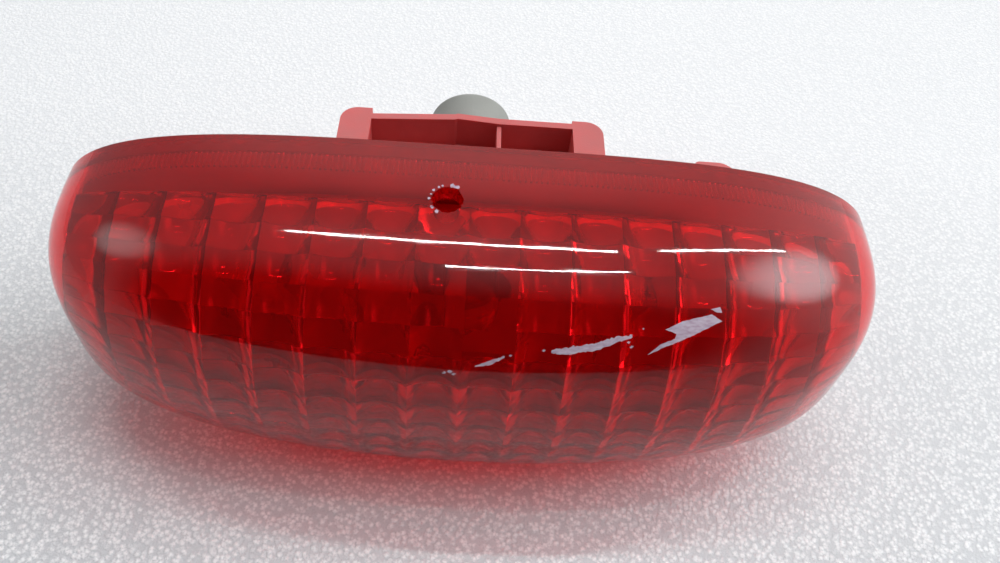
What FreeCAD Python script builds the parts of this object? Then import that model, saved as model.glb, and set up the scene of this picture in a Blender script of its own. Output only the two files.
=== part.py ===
"""High-level brake lamp: bonded red lens, rear housing, reflector and a twist-lock bulb holder.

Millimetres. +X is to the right seen from the lens, +Y goes into the vehicle and +Z is up.
The origin is the middle of the two fixing holes, on the plane of the tower ends.
"""
import FreeCAD, Part
import math
import os

V = FreeCAD.Vector
X_AXIS = V(1, 0, 0)
Y_AXIS = V(0, 1, 0)
Z_AXIS = V(0, 0, 1)

# Lens
LENS_WIDTH = 168.0            # rim, end to end
LENS_HEIGHT = 64.0            # rim, bottom to top
LENS_DEPTH = 45.0             # rim plane to nose
LENS_WALL = 2.6
RIM_SQUARENESS = 3.7          # superellipse exponent of the rim
NOSE_SQUARENESS = 1.9         # the same at the nose, nearly an ellipse
BELLY_SQUARENESS = 3.2        # exponent of the side profile
NOSE_DISH = 0.07              # how much the front face rises towards the nose
NOSE_FLAT = 0.10              # flat share at the very nose, where the sections start
LENS_SECTIONS = 10
QUARTER_STEPS = 12             # spans in each quarter of a section's outline
DRILLED_HOLE_R = 2.6          # hole through the top of the skirt
DRILLED_HOLE_X = -4.3
DRILLED_HOLE_BACK = 14.0      # distance in front of the rim plane

# Modelling margins
OVERSHOOT = 1.0               # how far a cutting shape runs past the surface it opens
PICK = 0.1                    # tolerance for picking edges by their place

# Depths behind the lens rim plane
FIXING_DEPTH = 24.0           # to the tower ends
BODY_DEPTH = 29.0             # to the rear face of the socket box
FLANGE_THICK = 3.0            # the flange stands inside the lens's skirt, flush with its rim
BOND_THICK = 0.6              # bead between the skirt and the flange's edge
GASKET_THICK = 2.5
LUG_DEPTH = 18.5

# Rear housing
WALL = 1.8
BOX_HALF_WIDTH = 30.0
BOX_TOP = 14.0
BOX_BOTTOM_MARGIN = 1.8       # wall under the bulb chamber
BOX_CORNER_R = 4.0
REAR_WALL = 2.0
POCKET_HALF_WIDTH = 23.0
POCKET_WALL = 1.75            # behind the pocket
SET_IN_LEFT = 1.8             # how far that wall stands in from the box's back, at its left end
SET_IN_STEP = 0.3             # the same just before its step
SET_IN_RIB = 0.85
SET_IN_RIGHT = 0.9
STEP_X = -4.0
STEP_RUN = 0.6
POCKET_RIB_X = 6.2
POCKET_RIB_THICK = 1.0
POCKET_RIB_DROP = 0.8         # rib top under the box top
CORE_INNER_X = 13.2           # moulding cores each side of the bulb chamber

# Fixing towers and threaded inserts
TOWER_SPACING = 114.0
TOWER_R = 5.5
TOWER_BORE_DEPTH = 14.0
TOWER_BORE_R = 2.7
INSERT_LENGTH = 8.0
INSERT_R = 3.2
THREAD_R = 2.1                # minor radius of the M5 thread
WEB_THICK = 2.0
WEB_DEPTH = 12.0
CROSS_WEB_UP = 7.5
CROSS_WEB_DOWN = 11.0

# Locating lug, on the right only
LUG_X = 54.5
LUG_WIDTH = 9.0
LUG_Z = 10.8
LUG_HEIGHT = 6.4
LUG_LEFT_ROUND = 1.2
LUG_RIGHT_ROUND = 4.0

# Gasket and its locating ring
GASKET_EDGE = 0.3             # set in from the flange edge
GASKET_BAND = 8.0
GASKET_GAP = 0.3
GASKET_RING_THICK = 1.4
GASKET_RING_HEIGHT = 2.0

# Vent
VENT_X = -46.0
VENT_Z = -11.5
VENT_BOSS_R = 4.4
VENT_BORE_R = 3.0
VENT_BOSS_HEIGHT = 3.0
VENT_HOLE_R = 1.0
FOAM_CLEARANCE = 0.05

# Reflector
REFLECTOR_WALL = 1.2
REFLECTOR_STANDOFF = 1.0
REFLECTOR_FLOOR_MARGIN = 22.0  # lens rim to reflector floor, at the ends
REFLECTOR_FLOOR_TOP_MARGIN = 12.5
REFLECTOR_RIM_MARGIN = 8.5
REFLECTOR_HEIGHT = 12.0
REFLECTOR_BULB_GAP = 2.0
REFLECTOR_LIP = 1.6
STAND_OFF_X = 40.0
STAND_OFF_R = 3.6
STAND_OFF_BOSS = 2.0          # behind the flange, so that the screw's hole stays blind
SCREW_R = 1.2
SCREW_LENGTH = 6.0
SCREW_PILOT_EXTRA = 0.4
SCREW_HEAD_R = 2.6
SCREW_HEAD_HEIGHT = 1.6
SCREW_CLEARANCE = 0.02
SCREW_SLOT_WIDTH = 0.7
SCREW_SLOT_DEPTH = 0.8
SCREW_HOLE_R = 1.6            # in the reflector

# Bulb holder
SOCKET_Z = -7.0
CHAMBER_R = 11.2
SOCKET_HOLE_R = 9.0
RUNNING_CLEARANCE = 0.1
LUG_COUNT = 3
LOCK_LUG_R = 10.5
LOCK_LUG_THICK = 2.0
LOCK_LUG_ANGLE = 26.0
LOCK_LUG_GAP = 0.2            # lug to rear wall
NOTCH_CLEARANCE = 0.3
NOTCH_ANGLE_CLEARANCE = 3.0
UNLOCK_ANGLE = 45.0
STOP_CLEARANCE = 1.0          # degrees, lug to stop
STOP_INNER_GAP = 0.4
STOP_FOOT = 0.3               # stop runs into the chamber wall
SEAL_THICK = 1.2
SEAL_GAP = 0.15
SEAL_INNER_R = 9.2
SEAL_OUTER_R = 12.2
HOLDER_FLANGE_R = 13.0
HOLDER_FLANGE_THICK = 2.6
HOLDER_CAP_R = 10.4
HOLDER_REACH = 49.5           # rim plane to the cap's rear face
HOLDER_CAP_ROUND = 1.6
HOLDER_NOSE = 17.0            # neck in front of the rear wall
INLET_WIDTH = 12.4
INLET_HEIGHT = 10.2
INLET_DEPTH = 10.0
KEY_WIDTH = 3.0               # polarising key in the inlet's floor
KEY_HEIGHT = 0.9

# Bulb, contacts and retainer
GLASS_R = 7.65
GLASS_WALL = 0.6
GLASS_LENGTH = 27.0           # shoulder to tip
SHOULDER_LENGTH = 5.0
SHOULDER_R = 5.2
SHOULDER_BULGE = 0.72         # how far the shoulder has opened halfway up
WEDGE_WIDTH = 9.5
WEDGE_THICK = 2.2
WEDGE_LENGTH = 8.0
TIP_R = 1.1
SLOT_CLEARANCE = 0.3
SLOT_HALF_HEIGHT = 2.6
SLOT_DEPTH = 9.6
SEAT_GAP = 0.3                # bulb shoulder to holder mouth
LEAD_R = 0.25
LEAD_X = 2.6
LEAD_TAIL_START = 1.0         # shoulder to the end of the folded tail
LEAD_CLEARANCE = 0.02
LEAD_FILAMENT_BACK = 14.0     # filament in front of the shoulder
FILAMENT_COIL_R = 0.55
FILAMENT_WIRE_R = 0.11
FILAMENT_TURNS = 9
CONTACT_THICK = 0.4
CONTACT_WIDTH = 3.2
CONTACT_BUMP = 0.8            # half length of the pressed bump
CONTACT_GAP = 0.15            # contact bump to lead wire
CONTACT_MOUTH = 1.2
BLADE_X = 3.4
BLADE_SHORT = 1.5             # blade tips inside the inlet mouth
RETAINER_THICK = 1.6
RETAINER_FIT = 0.05

# Worked-out planes and sizes
RIM_Y = -FIXING_DEPTH
HALF_WIDTH = LENS_WIDTH / 2
HALF_HEIGHT = LENS_HEIGHT / 2
FLANGE_BACK = RIM_Y
FLANGE_FRONT = FLANGE_BACK - FLANGE_THICK
FLANGE_INSET = LENS_WALL + BOND_THICK
GASKET_INSET = FLANGE_INSET + GASKET_EDGE
BOX_BACK = RIM_Y + BODY_DEPTH
WALL_FRONT = BOX_BACK - REAR_WALL
CHAMBER_TOP = SOCKET_Z + CHAMBER_R
POCKET_FLOOR = CHAMBER_TOP + WALL
BOX_BOTTOM = SOCKET_Z - CHAMBER_R - BOX_BOTTOM_MARGIN
REFLECTOR_BACK = FLANGE_FRONT - REFLECTOR_STANDOFF
REFLECTOR_FLOOR = REFLECTOR_BACK - REFLECTOR_WALL
NECK_R = SOCKET_HOLE_R - RUNNING_CLEARANCE
LUG_BACK = WALL_FRONT - LOCK_LUG_GAP
LUG_FRONT = LUG_BACK - LOCK_LUG_THICK
FLANGE_RING_FRONT = BOX_BACK + SEAL_GAP + SEAL_THICK
FLANGE_RING_BACK = FLANGE_RING_FRONT + HOLDER_FLANGE_THICK
MOUTH_Y = WALL_FRONT - HOLDER_NOSE
HOLDER_BACK = RIM_Y + HOLDER_REACH
INLET_FLOOR = HOLDER_BACK - INLET_DEPTH
RETAINER_FRONT = INLET_FLOOR - RETAINER_THICK
SHOULDER_Y = MOUTH_Y - SEAT_GAP
WEDGE_END = SHOULDER_Y + WEDGE_LENGTH
FILAMENT_Y = SHOULDER_Y - LEAD_FILAMENT_BACK


def box(x0, x1, y0, y1, z0, z1):
    """A box between two corners."""
    return Part.makeBox(x1 - x0, y1 - y0, z1 - z0, V(x0, y0, z0))


def rod(radius, y0, y1, x=0.0, z=0.0):
    """A cylinder along Y."""
    return Part.makeCylinder(radius, y1 - y0, V(x, y0, z), Y_AXIS)


def ring(inner, outer, y0, y1, x=0.0, z=0.0):
    """A tube along Y."""
    return rod(outer, y0, y1, x, z).cut(rod(inner, y0, y1, x, z))


def squareness(share):
    """Superellipse exponent of the section at this share of the rim's size."""
    return NOSE_SQUARENESS + (RIM_SQUARENESS - NOSE_SQUARENESS) * share ** 3


def quarter_edge(half_width, half_height, y, exponent, quarter):
    """One quarter of a superellipse, square to the axes at both ends."""
    points = []
    for step in range(QUARTER_STEPS + 1):
        angle = math.pi / 2 * (quarter + step / QUARTER_STEPS)
        c = math.cos(angle)
        s = math.sin(angle)
        reach = (abs(c) ** exponent + abs(s) ** exponent) ** (-1 / exponent)
        points.append(V(half_width * reach * c, y, half_height * reach * s))
    turns = [Z_AXIS, -X_AXIS, -Z_AXIS, X_AXIS]
    curve = Part.BSplineCurve()
    curve.interpolate(Points=points, InitialTangent=turns[quarter], FinalTangent=turns[(quarter + 1) % 4])
    return curve.toShape()


def outline(half_width, half_height, y, exponent=RIM_SQUARENESS):
    """A closed smooth superellipse in the plane y."""
    return Part.Wire([quarter_edge(half_width, half_height, y, exponent, quarter) for quarter in range(4)])


def rim_outline(inset, y):
    """The rim's outline, set in by a margin."""
    return outline(HALF_WIDTH - inset, HALF_HEIGHT - inset, y)


def rim_plate(inset, y0, y1):
    """A plate with the rim's outline, set in by a margin."""
    return Part.Face(rim_outline(inset, y0)).extrude(V(0, y1 - y0, 0))


def rim_band(outer_inset, width, y0, y1):
    """A closed band that follows the rim."""
    return rim_plate(outer_inset, y0, y1).cut(rim_plate(outer_inset + width, y0, y1))


def skirt_share(distance, depth):
    """Share of the rim's size at a distance in front of the rim plane, on the steep skirt."""
    drop = min(distance / (depth * (1 - NOSE_DISH)), 1.0)
    return (1 - drop ** BELLY_SQUARENESS) ** (1 / BELLY_SQUARENESS)


def lens_dome(inset):
    """The solid dome under the lens surface, set in by a margin."""
    half_width = HALF_WIDTH - inset
    half_height = HALF_HEIGHT - inset
    depth = LENS_DEPTH - inset
    power = 2 / BELLY_SQUARENESS
    start = math.asin(NOSE_FLAT ** (1 / power))
    wires = []
    for index in range(LENS_SECTIONS):
        turn = start + (math.pi / 2 - start) * index / (LENS_SECTIONS - 1)
        share = math.sin(turn) ** power
        height = depth * (1 - NOSE_DISH * share ** 2) * max(math.cos(turn), 0.0) ** power
        if index == LENS_SECTIONS - 1:
            height = 0.0
        section = outline(half_width * share, half_height * share, RIM_Y - height, squareness(share))
        wires.append(section)
    return Part.makeLoft(wires, True, False, False)


def outer_lens():
    """Red lens shell with the hole drilled through its top skirt."""
    shell = lens_dome(0.0).cut(lens_dome(LENS_WALL))
    share = skirt_share(DRILLED_HOLE_BACK, LENS_DEPTH)
    top = HALF_HEIGHT * share + LENS_WALL
    start = V(DRILLED_HOLE_X, RIM_Y - DRILLED_HOLE_BACK, top - 3 * LENS_WALL)
    drill = Part.makeCylinder(DRILLED_HOLE_R, 4 * LENS_WALL, start, Z_AXIS)
    return shell.cut(drill)


def lens_bond():
    """Bead that bonds the lens's skirt to the edge of the housing's flange."""
    inside_skirt = lens_dome(LENS_WALL).common(rim_plate(0.0, FLANGE_FRONT, FLANGE_BACK))
    return inside_skirt.cut(rim_plate(FLANGE_INSET, FLANGE_FRONT, FLANGE_BACK))


def sector(inner, outer, middle, width, y0, y1):
    """A ring segment about the socket axis; angles in degrees from +Z towards +X."""
    def at(radius, angle):
        turn = math.radians(angle)
        return V(radius * math.sin(turn), y0, SOCKET_Z + radius * math.cos(turn))
    first = middle - width / 2
    last = middle + width / 2
    edges = [
        Part.Arc(at(outer, first), at(outer, middle), at(outer, last)).toShape(),
        Part.LineSegment(at(outer, last), at(inner, last)).toShape(),
        Part.Arc(at(inner, last), at(inner, middle), at(inner, first)).toShape(),
        Part.LineSegment(at(inner, first), at(outer, first)).toShape(),
    ]
    return Part.Face(Part.Wire(edges)).extrude(V(0, y1 - y0, 0))


def lug_angles():
    """Middle angle of each locking lug with the holder locked."""
    return [360.0 * index / LUG_COUNT for index in range(LUG_COUNT)]


def socket_box():
    """Box behind the flange, with its rounded rear corners."""
    block = box(-BOX_HALF_WIDTH, BOX_HALF_WIDTH, FLANGE_FRONT, BOX_BACK, BOX_BOTTOM, BOX_TOP)
    corners = []
    for edge in block.Edges:
        upright = abs(edge.Vertexes[0].Z - edge.Vertexes[-1].Z) > PICK
        if upright and edge.CenterOfMass.y > BOX_BACK - PICK:
            corners.append(edge)
    return block.makeFillet(BOX_CORNER_R, corners)


def side_core(side):
    """Moulding core beside the bulb chamber, with its narrow part beside the pocket."""
    outer = BOX_HALF_WIDTH - WALL
    inner = POCKET_HALF_WIDTH + WALL
    back = BOX_BACK - WALL
    low = box(CORE_INNER_X, outer, FLANGE_FRONT, back, BOX_BOTTOM + WALL, POCKET_FLOOR - WALL)
    high = box(inner, outer, FLANGE_FRONT, back, POCKET_FLOOR - WALL, BOX_TOP - WALL)
    core = low.fuse(high)
    if side < 0:
        core = core.mirror(V(0, 0, 0), X_AXIS)
    return core


def pocket_wall(depth):
    """Points along the pocket's rear wall, at a depth into it from behind."""
    places = [
        (-POCKET_HALF_WIDTH, SET_IN_LEFT), (STEP_X, SET_IN_STEP), (STEP_X + STEP_RUN, 0.0),
        (POCKET_RIB_X, SET_IN_RIB), (POCKET_HALF_WIDTH, SET_IN_RIGHT),
    ]
    return [V(x, BOX_BACK - set_in - depth, POCKET_FLOOR) for x, set_in in places]


def above_pocket_floor(rear_points, closing_y):
    """What stands above the pocket's floor between its rear wall's points and a plane."""
    ends = [V(x, closing_y, POCKET_FLOOR) for x in (POCKET_HALF_WIDTH, -POCKET_HALF_WIDTH)]
    points = rear_points + ends
    face = Part.Face(Part.makePolygon(points + points[:1]))
    return face.extrude(V(0, 0, BOX_TOP + OVERSHOOT - POCKET_FLOOR))


def pocket():
    """The two open-topped halves of the pocket, with the rib left between them."""
    hollow = above_pocket_floor(pocket_wall(POCKET_WALL), FLANGE_BACK)
    half = POCKET_RIB_THICK / 2
    rib_top = BOX_TOP - POCKET_RIB_DROP
    rib = box(POCKET_RIB_X - half, POCKET_RIB_X + half, FLANGE_BACK, BOX_BACK, POCKET_FLOOR, rib_top)
    return hollow.cut(rib)


def rear_recess():
    """What the pocket's uneven rear wall leaves free behind it."""
    return above_pocket_floor(pocket_wall(0.0), BOX_BACK + OVERSHOOT)


def bulb_chamber():
    """Space for the bulb, with the keyed hole that the holder twists into."""
    void = rod(CHAMBER_R, FLANGE_FRONT - OVERSHOOT, WALL_FRONT, 0, SOCKET_Z)
    void = void.fuse(rod(SOCKET_HOLE_R, WALL_FRONT - OVERSHOOT, BOX_BACK + OVERSHOOT, 0, SOCKET_Z))
    notch_r = LOCK_LUG_R + NOTCH_CLEARANCE
    notch_angle = LOCK_LUG_ANGLE + 2 * NOTCH_ANGLE_CLEARANCE
    for angle in lug_angles():
        middle = angle + UNLOCK_ANGLE
        front = WALL_FRONT - OVERSHOOT
        back = BOX_BACK + OVERSHOOT
        void = void.fuse(sector(NECK_R - OVERSHOOT, notch_r, middle, notch_angle, front, back))
    return void


def lock_stops():
    """Stops inside the chamber that end the holder's twist both ways."""
    width = 360.0 / LUG_COUNT - LOCK_LUG_ANGLE - UNLOCK_ANGLE - 2 * STOP_CLEARANCE
    middle = UNLOCK_ANGLE + LOCK_LUG_ANGLE / 2 + STOP_CLEARANCE + width / 2
    inner = NECK_R + STOP_INNER_GAP
    outer = CHAMBER_R + STOP_FOOT
    return [sector(inner, outer, angle + middle, width, LUG_FRONT, WALL_FRONT) for angle in lug_angles()]


def tower(side):
    """Fixing tower with its two webs, on one side."""
    x = side * TOWER_SPACING / 2
    post = rod(TOWER_R, FLANGE_FRONT, 0.0, x)
    web_back = FLANGE_BACK + WEB_DEPTH
    near = side * BOX_HALF_WIDTH
    half = WEB_THICK / 2
    web = box(min(near, x), max(near, x), FLANGE_FRONT, web_back, -half, half)
    cross = box(x - half, x + half, FLANGE_FRONT, web_back, -CROSS_WEB_DOWN, CROSS_WEB_UP)
    return [post, web, cross]


def tower_bores():
    """Insert seats and the clear bores in front of them."""
    bores = []
    for side in (-1, 1):
        x = side * TOWER_SPACING / 2
        bores.append(rod(INSERT_R, -INSERT_LENGTH, OVERSHOOT, x))
        bores.append(rod(TOWER_BORE_R, -TOWER_BORE_DEPTH, 0.0, x))
    return bores


def locating_lug():
    """Lug behind the flange, on the right only, with one back corner rounder than the other."""
    half = LUG_WIDTH / 2
    rise = LUG_HEIGHT / 2
    back = RIM_Y + LUG_DEPTH
    lug = box(LUG_X - half, LUG_X + half, FLANGE_FRONT, back, LUG_Z - rise, LUG_Z + rise)
    for side, radius in ((-1, LUG_LEFT_ROUND), (1, LUG_RIGHT_ROUND)):
        corner = V(LUG_X + side * half, back, LUG_Z)
        upright = [edge for edge in lug.Edges if (edge.CenterOfMass - corner).Length < PICK]
        lug = lug.makeFillet(radius, upright)
    return lug


def stand_offs():
    """Short posts that carry the reflector."""
    back = FLANGE_BACK + STAND_OFF_BOSS
    return [rod(STAND_OFF_R, REFLECTOR_BACK, back, side * STAND_OFF_X) for side in (-1, 1)]


def screw_pilots():
    """Pilot holes for the reflector screws."""
    depth = REFLECTOR_FLOOR + SCREW_LENGTH + SCREW_PILOT_EXTRA
    return [rod(SCREW_R, REFLECTOR_BACK - OVERSHOOT, depth, side * STAND_OFF_X) for side in (-1, 1)]


def rear_housing():
    """Moulded housing: flange, gasket ring, socket box, towers, lug and vent boss."""
    ring_inset = GASKET_INSET + GASKET_BAND + GASKET_GAP
    ring_back = FLANGE_BACK + GASKET_RING_HEIGHT
    gasket_ring = rim_band(ring_inset, GASKET_RING_THICK, FLANGE_FRONT, ring_back)
    vent_back = FLANGE_BACK + VENT_BOSS_HEIGHT
    vent_boss = rod(VENT_BOSS_R, FLANGE_FRONT, vent_back, VENT_X, VENT_Z)
    body = rim_plate(FLANGE_INSET, FLANGE_FRONT, FLANGE_BACK)
    body = body.multiFuse([gasket_ring, vent_boss, socket_box(), locating_lug()])
    body = body.multiFuse(tower(-1) + tower(1) + stand_offs())
    body = body.cut(bulb_chamber())
    body = body.multiFuse(lock_stops())
    voids = [pocket(), rear_recess(), side_core(-1), side_core(1)] + tower_bores() + screw_pilots()
    voids.append(rod(VENT_BORE_R, FLANGE_BACK, vent_back + OVERSHOOT, VENT_X, VENT_Z))
    voids.append(rod(VENT_HOLE_R, FLANGE_FRONT - OVERSHOOT, FLANGE_BACK + OVERSHOOT, VENT_X, VENT_Z))
    for void in voids:
        body = body.cut(void)
    return body.removeSplitter()


def body_gasket():
    """Foam ring between the flange and the vehicle's panel, notched where the socket box needs the room."""
    back = FLANGE_BACK + GASKET_THICK
    band = rim_band(GASKET_INSET, GASKET_BAND, FLANGE_BACK, back)
    half = BOX_HALF_WIDTH + GASKET_GAP
    low = BOX_BOTTOM - GASKET_GAP
    room = box(-half, half, FLANGE_BACK - OVERSHOOT, back + OVERSHOOT, low, BOX_TOP + GASKET_GAP)
    return band.cut(room)


def vent_foam():
    """Open-cell plug that lets the lamp breathe."""
    radius = VENT_BORE_R - FOAM_CLEARANCE
    return rod(radius, FLANGE_BACK, FLANGE_BACK + VENT_BOSS_HEIGHT - GASKET_EDGE, VENT_X, VENT_Z)


def fixing_insert(side):
    """Brass insert with the fixing screw's thread bore."""
    x = side * TOWER_SPACING / 2
    return ring(THREAD_R, INSERT_R, -INSERT_LENGTH, 0.0, x)


def reflector_bowl(inset, floor_y, rim_y):
    """The reflector's bowl as a solid, set in by a margin."""
    floor_width = HALF_WIDTH - REFLECTOR_FLOOR_MARGIN - inset
    floor_height = HALF_HEIGHT - REFLECTOR_FLOOR_TOP_MARGIN - inset
    floor = outline(floor_width, floor_height, floor_y)
    rim = rim_outline(REFLECTOR_RIM_MARGIN + inset, rim_y)
    return Part.makeLoft([floor, rim], True, True, False)


def reflector():
    """Metallised reflector bowl with the bulb hole, screw holes and a turned-out lip."""
    rim_y = RIM_Y - REFLECTOR_HEIGHT
    bowl = reflector_bowl(0.0, REFLECTOR_BACK, rim_y)
    bowl = bowl.cut(reflector_bowl(REFLECTOR_WALL, REFLECTOR_FLOOR, rim_y))
    lip_inset = REFLECTOR_RIM_MARGIN - REFLECTOR_LIP
    lip_width = REFLECTOR_LIP + REFLECTOR_WALL
    lip = rim_band(lip_inset, lip_width, rim_y - REFLECTOR_WALL, rim_y)
    bowl = bowl.fuse(lip)
    bowl = bowl.cut(rod(GLASS_R + REFLECTOR_BULB_GAP, rim_y, FLANGE_FRONT, 0, SOCKET_Z))
    for side in (-1, 1):
        hole = rod(SCREW_HOLE_R, REFLECTOR_FLOOR - OVERSHOOT, REFLECTOR_BACK + OVERSHOOT, side * STAND_OFF_X)
        bowl = bowl.cut(hole)
    return bowl


def reflector_screw(side):
    """Pan-head screw that holds the reflector on its stand-off."""
    x = side * STAND_OFF_X
    front = REFLECTOR_FLOOR - SCREW_HEAD_HEIGHT
    head = rod(SCREW_HEAD_R, front, REFLECTOR_FLOOR, x)
    rim_edges = [edge for edge in head.Edges if edge.CenterOfMass.y < front + PICK]
    head = head.makeFillet(SCREW_HEAD_HEIGHT / 2, rim_edges)
    shank = rod(SCREW_R - SCREW_CLEARANCE, front + SCREW_HEAD_HEIGHT / 2, REFLECTOR_FLOOR + SCREW_LENGTH, x)
    screw = head.fuse(shank)
    half = SCREW_SLOT_WIDTH / 2
    reach = SCREW_HEAD_R / 2
    floor = front + SCREW_SLOT_DEPTH
    upright = box(x - half, x + half, front - OVERSHOOT, floor, -reach, reach)
    level = box(x - reach, x + reach, front - OVERSHOOT, floor, -half, half)
    return screw.cut(upright.fuse(level))


def wedge_slot():
    """Slot in the holder's mouth for the bulb's wedge and the contacts beside it."""
    half = WEDGE_WIDTH / 2 + SLOT_CLEARANCE
    low = SOCKET_Z - SLOT_HALF_HEIGHT
    high = SOCKET_Z + SLOT_HALF_HEIGHT
    return box(-half, half, MOUTH_Y - OVERSHOOT, MOUTH_Y + SLOT_DEPTH, low, high)


def contact_profile(side):
    """Side view of one contact as points (y, z from the socket axis) for the lead on that side."""
    outer = SLOT_HALF_HEIGHT
    inner = outer - CONTACT_THICK
    touch = WEDGE_THICK / 2 + 2 * LEAD_R + CONTACT_GAP
    front = MOUTH_Y + CONTACT_MOUTH
    middle = MOUTH_Y + WEDGE_LENGTH / 2
    turn = MOUTH_Y + SLOT_DEPTH - CONTACT_THICK
    half = CONTACT_THICK / 2
    tip = HOLDER_BACK - BLADE_SHORT
    points = [
        (front, inner), (front, outer), (turn + CONTACT_THICK, outer), (turn + CONTACT_THICK, half),
        (tip, half), (tip, -half), (turn, -half), (turn, inner),
        (middle + CONTACT_BUMP, inner), (middle, touch), (middle - CONTACT_BUMP, inner),
    ]
    return [V(0, y, SOCKET_Z + side * z) for y, z in points]


def contact(side):
    """Stamped contact: leaf beside the wedge, a turn down and a blade in the inlet."""
    points = contact_profile(side)
    leaf = Part.Face(Part.makePolygon(points + points[:1]))
    x = side * BLADE_X
    leaf.translate(V(x - CONTACT_WIDTH / 2, 0, 0))
    return leaf.extrude(V(CONTACT_WIDTH, 0, 0))


def retainer():
    """Plate pressed in at the inlet's floor, with a slot for each blade."""
    half = INLET_WIDTH / 2 - RETAINER_FIT
    rise = INLET_HEIGHT / 2 - RETAINER_FIT
    plate = box(-half, half, RETAINER_FRONT, INLET_FLOOR, SOCKET_Z - rise, SOCKET_Z + rise)
    for side in (-1, 1):
        plate = plate.cut(blade_slot(side, RETAINER_FRONT - OVERSHOOT, INLET_FLOOR + OVERSHOOT))
    return plate


def blade_slot(side, y0, y1):
    """Clear slot around one blade."""
    half = CONTACT_WIDTH / 2 + RETAINER_FIT
    rise = CONTACT_THICK / 2 + RETAINER_FIT
    x = side * BLADE_X
    return box(x - half, x + half, y0, y1, SOCKET_Z - rise, SOCKET_Z + rise)


def holder_body():
    """Twist-lock holder: neck with lugs, flange, round cap and the connector inlet."""
    neck = rod(NECK_R, MOUTH_Y, FLANGE_RING_BACK, 0, SOCKET_Z)
    flange = rod(HOLDER_FLANGE_R, FLANGE_RING_FRONT, FLANGE_RING_BACK, 0, SOCKET_Z)
    cap = rod(HOLDER_CAP_R, FLANGE_RING_BACK, HOLDER_BACK, 0, SOCKET_Z)
    rear_edges = [edge for edge in cap.Edges if edge.CenterOfMass.y > HOLDER_BACK - PICK]
    cap = cap.makeFillet(HOLDER_CAP_ROUND, rear_edges)
    root = NECK_R - OVERSHOOT
    lugs = [sector(root, LOCK_LUG_R, angle, LOCK_LUG_ANGLE, LUG_FRONT, LUG_BACK) for angle in lug_angles()]
    body = neck.multiFuse([flange, cap] + lugs)
    half = INLET_WIDTH / 2
    rise = INLET_HEIGHT / 2
    floor_z = SOCKET_Z - rise
    inlet = box(-half, half, RETAINER_FRONT, HOLDER_BACK + OVERSHOOT, floor_z, SOCKET_Z + rise)
    key_half = KEY_WIDTH / 2
    key_back = HOLDER_BACK - BLADE_SHORT
    key = box(-key_half, key_half, INLET_FLOOR, key_back, floor_z - OVERSHOOT, floor_z + KEY_HEIGHT)
    body = body.cut(inlet.cut(key)).cut(wedge_slot())
    for side in (-1, 1):
        body = body.cut(blade_slot(side, MOUTH_Y + SLOT_DEPTH - OVERSHOOT, RETAINER_FRONT + OVERSHOOT))
    return body.removeSplitter()


def holder_seal():
    """Flat rubber ring under the holder's flange."""
    return ring(SEAL_INNER_R, SEAL_OUTER_R, BOX_BACK + SEAL_GAP, FLANGE_RING_FRONT, 0, SOCKET_Z)


def glass_profile(inset):
    """Half section of the envelope, set in by the glass wall, as a face to turn about its axis."""
    radius = GLASS_R - inset
    neck = SHOULDER_R - inset
    base = SHOULDER_Y - inset
    straight = SHOULDER_Y - SHOULDER_LENGTH
    dome = SHOULDER_Y - GLASS_LENGTH + GLASS_R
    tip = dome - radius
    axis = SOCKET_Z
    diagonal = math.sqrt(0.5) * radius
    middle_y = (base + straight) / 2
    middle_r = neck + (radius - neck) * SHOULDER_BULGE
    foot = V(0, base, axis)
    foot_edge = V(0, base, axis + neck)
    waist = V(0, middle_y, axis + middle_r)
    wide = V(0, straight, axis + radius)
    dome_edge = V(0, dome, axis + radius)
    dome_middle = V(0, dome - diagonal, axis + diagonal)
    crown = V(0, tip, axis)
    edges = [
        Part.LineSegment(foot, foot_edge).toShape(),
        Part.Arc(foot_edge, waist, wide).toShape(),
        Part.LineSegment(wide, dome_edge).toShape(),
        Part.Arc(dome_edge, dome_middle, crown).toShape(),
        Part.LineSegment(crown, foot).toShape(),
    ]
    return Part.Face(Part.Wire(edges))


def bulb_glass():
    """Glass envelope with its sealed tip and the pinched wedge."""
    pivot = V(0, 0, SOCKET_Z)
    outside = glass_profile(0.0).revolve(pivot, Y_AXIS, 360)
    inside = glass_profile(GLASS_WALL).revolve(pivot, Y_AXIS, 360)
    tip_y = SHOULDER_Y - GLASS_LENGTH
    tip = Part.makeSphere(TIP_R, V(0, tip_y, SOCKET_Z))
    half = WEDGE_WIDTH / 2
    rise = WEDGE_THICK / 2
    wedge = box(-half, half, SHOULDER_Y - GLASS_WALL, WEDGE_END, SOCKET_Z - rise, SOCKET_Z + rise)
    envelope = outside.multiFuse([tip, wedge]).cut(inside)
    channel_r = LEAD_R + LEAD_CLEARANCE
    for side in (-1, 1):
        channel = rod(channel_r, FILAMENT_Y, WEDGE_END + OVERSHOOT, side * LEAD_X, SOCKET_Z)
        envelope = envelope.cut(channel)
    return envelope


def lead_wire(side):
    """Lead wire: through the pinch, round the wedge's foot and back along its face."""
    x = side * LEAD_X
    foot_y = WEDGE_END + LEAD_R + LEAD_CLEARANCE
    face_z = SOCKET_Z + side * (WEDGE_THICK / 2 + LEAD_R + LEAD_CLEARANCE)
    run = rod(LEAD_R, FILAMENT_Y - LEAD_R, foot_y, x, SOCKET_Z)
    reach = face_z - SOCKET_Z
    foot = Part.makeCylinder(LEAD_R, abs(reach), V(x, foot_y, SOCKET_Z), V(0, 0, side))
    tail = rod(LEAD_R, SHOULDER_Y + LEAD_TAIL_START, foot_y, x, face_z)
    joints = [Part.makeSphere(LEAD_R, V(x, foot_y, SOCKET_Z)), Part.makeSphere(LEAD_R, V(x, foot_y, face_z))]
    return run.multiFuse([foot, tail] + joints)


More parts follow.
